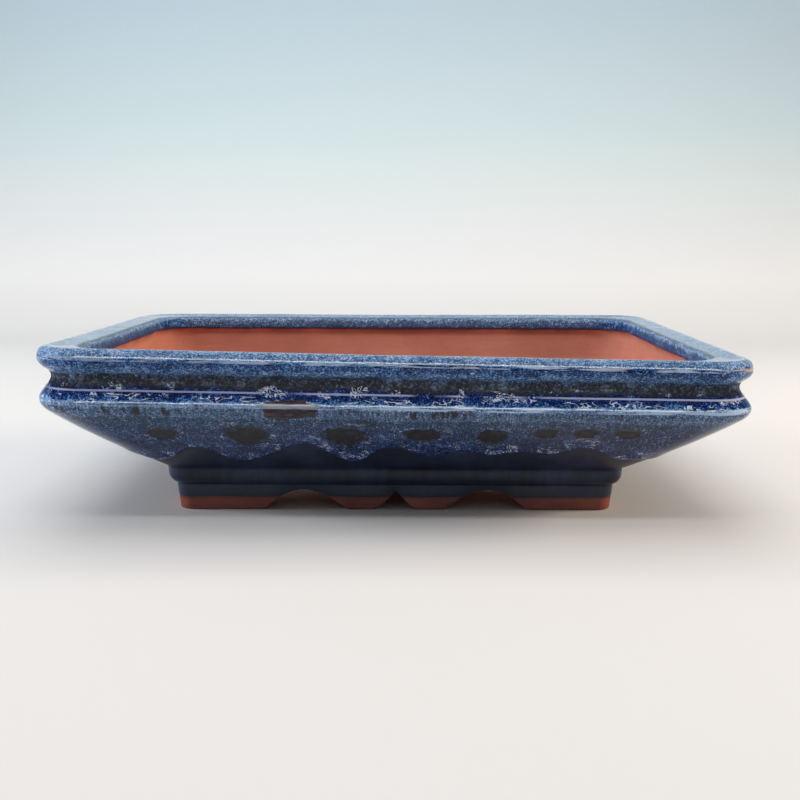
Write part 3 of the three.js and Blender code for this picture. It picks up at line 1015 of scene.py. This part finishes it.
def fired_pot():
    """One material for every strip: bare clay, satin navy glaze and thick blue glaze, each where
    the strip's own fields say."""
    t = Tree("fired_glaze")
    where = t.position()
    flow = t.attribute("flow", vector=True)
    run, above, eye, chip, glazed = (
        t.attribute(name) for name in ("run", "above", "eye", "chip", "glazed")
    )
    jitter = t.centred(t.noise(where, 700, 2, 0.6))
    above = t.plus(above, t.times(jitter, 1.1))
    glazed = t.plus(glazed, t.times(jitter, 0.7))

    inside = t.between(run, AT["lip"] + 2, AT["lip"])
    clay, clay_height = clay_colour(t, where, inside)
    navy = navy_glaze(t, where, flow, run)
    blue, speck, thin, white = crystal_glaze(t, where, flow, run, above, eye, chip)
    thick = t.between(above, -0.25, 0.35)
    edge = t.times(t.between(above, -0.9, -0.2), t.between(above, 0.9, 0.2))
    colour = t.cover(t.mix(thick, navy, blue), "glaze_edge", edge, 0.5)
    on = t.between(glazed, -0.15, 0.25)
    colour = t.mix(on, clay, colour)
    # Just under the glaze's end the clay darkens: partly stained where the glaze ends, partly
    # painted shadow under the lip.
    stain_and_shadow = t.times(t.between(glazed, -1.6, 0.1), t.inverse(on))
    colour = t.cover(colour, "lip_stain_and_shadow", stain_and_shadow, 0.6)
    # Painted shadow under the lip's overhang, broad and cloudy, on the clay inside the pot.
    shadow_under_lip = t.times(t.between(glazed, -6.5, -0.2), t.inverse(on))
    shadow_under_lip = t.times(shadow_under_lip, t.between(t.noise(where, 22, 3, 0.6), 0.3, 0.6))
    colour = t.cover(colour, "shadow_under_lip", t.times(shadow_under_lip, inside), 0.7)

    glossy = t.blend(thin, t.blend(speck, 0.02, 0.10), 0.8)
    satin_inside = t.between(run, AT["ridge"] + 1, AT["ridge"] - 1)
    glossy = t.blend(satin_inside, glossy, 0.5)
    rough = t.blend(on, CLAY_ROUGHNESS, t.blend(thick, 0.33, glossy))
    glaze_height = t.plus(t.times(speck, 0.5), t.times(white, 0.6))
    height = t.blend(on, clay_height, t.times(glaze_height, t.blend(thick, 0.25, 0.8)))
    grain = t.bump(height, GRAIN_HEIGHT, 0.6)
    return t.surface(colour, rough, grain, IOR=GLAZE_IOR, Specular_IOR_Level=SPECULAR)


# ---- the pot

def add_piece(piece, node, material):
    piece.data.materials.append(material)
    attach(piece, "root")
    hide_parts(node)


def build_pot():
    glaze, clay = fired_pot(), terracotta()
    walls = build_walls()
    for course, loop in COURSES.items():
        for wall in walls:
            node = f"{wall.side}_{course}"
            add_piece(strip(wall, f"{node}_fired", loop), node, glaze)
    add_piece(floor_slab(walls), "floor_slab", clay)


# ---- the studio

def staged_mesh(name, vertices, faces, material):
    mesh = bpy.data.meshes.new(name)
    mesh.from_pydata(vertices, [], faces)
    mesh.materials.append(material)
    made = add_object(name, mesh)
    return made


def paper():
    t = Tree("paper")
    where = t.position()
    rise = t.math("MULTIPLY", t.component(where, "Z"), 2.0, clamp=True)
    creases = t.noise(t.stretch(where, (2.5, 6, 2.5)), 1.6, 2, 0.5)
    uneven = t.bump(creases, 0.002, 0.25)
    return t.surface(t.ramp(rise, "paper"), 0.8, uneven, Specular_IOR_Level=0.2)


def dark_reflection_card():
    t = Tree("dark_reflection_card")
    where = t.position()
    colour = t.ramp(t.noise(where, 30, 2, 0.5), "card")
    return t.surface(colour, 0.9, t.bump(t.noise(where, 200), 0.0005, 0.2))


def backdrop():
    """A pale seamless sheet: floor in front, curving up to a wall that turns bluish with height."""
    wall_at, bend, front, half_width, top = 1.25, 0.5, -3.0, 3.2, 1.9
    ground = -0.0001  # just under the soles, so that the two never share a plane
    profile = [(front, 0.0), (wall_at - bend, 0.0)]
    profile += [
        (wall_at - bend + bend * math.sin(a), bend - bend * math.cos(a))
        for a in np.linspace(0, math.pi / 2, 25)[1:]
    ]
    profile.append((wall_at, top))
    vertices = [(x, y, z + ground) for y, z in profile for x in (-half_width, half_width)]
    faces = [(2 * i, 2 * i + 1, 2 * i + 3, 2 * i + 2) for i in range(len(profile) - 1)]
    sheet = staged_mesh("backdrop", vertices, faces, paper())
    for face in sheet.data.polygons:
        face.use_smooth = True


def dark_card():
    """A dark card lying in front of the pot, which only its reflections show: a painted dark
    reflection in the glaze, unseen by the camera and by diffuse light, and casting no shadow.
    """
    reach, near, far, above = 1.6, -0.36, -2.6, 0.002
    corners = ((-reach, far), (reach, far), (reach, near), (-reach, near))
    vertices = [(x, y, above) for x, y in corners]
    card = staged_mesh("dark_card", vertices, [(0, 1, 2, 3)], dark_reflection_card())
    card.visible_camera = False
    card.visible_diffuse = False
    card.visible_shadow = False


WHITE, WARM, CREAM, COOL = (1, 1, 1), (1.0, 0.81, 0.62), (1.0, 0.99, 0.98), (0.98, 1.0, 1.0)
# name: (place, target, size, watts, colour), in metres.
LAMPS = {
    "top_softbox": ((-0.14, -0.08, 1.4), (-0.07, -0.08, 0), (2.2, 1.1), 11.4, WHITE),
    "key_strip": ((0.0, -0.84, 1.08), (0, -0.1, 0.06), (1.5, 0.12), 3.6, WHITE),
    "line_light": ((0.0, -1.3, 0.62), (0, -0.12, 0.07), (1.4, 0.2), 14.0, WHITE),
    "warm_right": ((1.15, 0.0, 0.42), (0.1, 0, 0), (0.5, 0.4), 12.0, WARM),
    "cool_left": ((-1.15, 0.0, 0.26), (-0.1, 0, 0), (0.5, 0.3), 11.4, CREAM),
    "backdrop_wash": ((0.22, 0.62, 1.2), (0.27, 1.15, 0.1), (2.3, 0.3), 3.5, COOL),
}
GLOSS_ONLY = ("line_light",)  # seen only in reflections
SEEN_IN_GLOSS = ("line_light", "backdrop_wash")
ROOM_COLOUR, ROOM_STRENGTH = (1.0, 0.98, 0.95, 1), 0.14


def lighting():
    for name, (place_m, target_m, size_m, watts, colour) in LAMPS.items():
        light = bpy.data.lights.new(name, "AREA")
        light.shape = "RECTANGLE"
        light.size, light.size_y = size_m
        light.energy = watts
        light.color = colour
        lamp = add_object(name, light)
        lamp.location = place_m
        aim = Vector(target_m) - Vector(place_m)
        lamp.rotation_euler = aim.to_track_quat("-Z", "Y").to_euler()
        lamp.visible_diffuse = name not in GLOSS_ONLY
        lamp.visible_glossy = name in SEEN_IN_GLOSS
    world = bpy.data.worlds.new("room")
    world.use_nodes = True
    shade = world.node_tree.nodes["Background"]
    shade.inputs["Color"].default_value = ROOM_COLOUR
    shade.inputs["Strength"].default_value = ROOM_STRENGTH
    bpy.context.scene.world = world


def camera():
    """Low, in front and a hair left of the middle, as a product is photographed on a table."""
    place_mm = (-4.9, -581.5, 128.0)
    yaw, pitch, roll = -0.0129, 0.146, 0.006
    forward = Vector((
        -math.sin(yaw) * math.cos(pitch), math.cos(yaw) * math.cos(pitch), -math.sin(pitch),
    ))
    level = Vector((math.cos(yaw), math.sin(yaw), 0))
    upright = level.cross(forward)
    right = math.cos(roll) * level + math.sin(roll) * upright
    up = -math.sin(roll) * level + math.cos(roll) * upright
    data = bpy.data.cameras.new("camera")
    data.lens = 50.28
    data.sensor_width = 36
    made = add_object("camera", data)
    basis = Matrix((right, up, -forward)).transposed().to_4x4()
    basis.translation = Vector(place_mm) * MM
    made.matrix_world = basis
    bpy.context.scene.camera = made


camera()
backdrop()
dark_card()
lighting()
build_pot()
bpy.context.scene.view_settings.view_transform = "Standard"
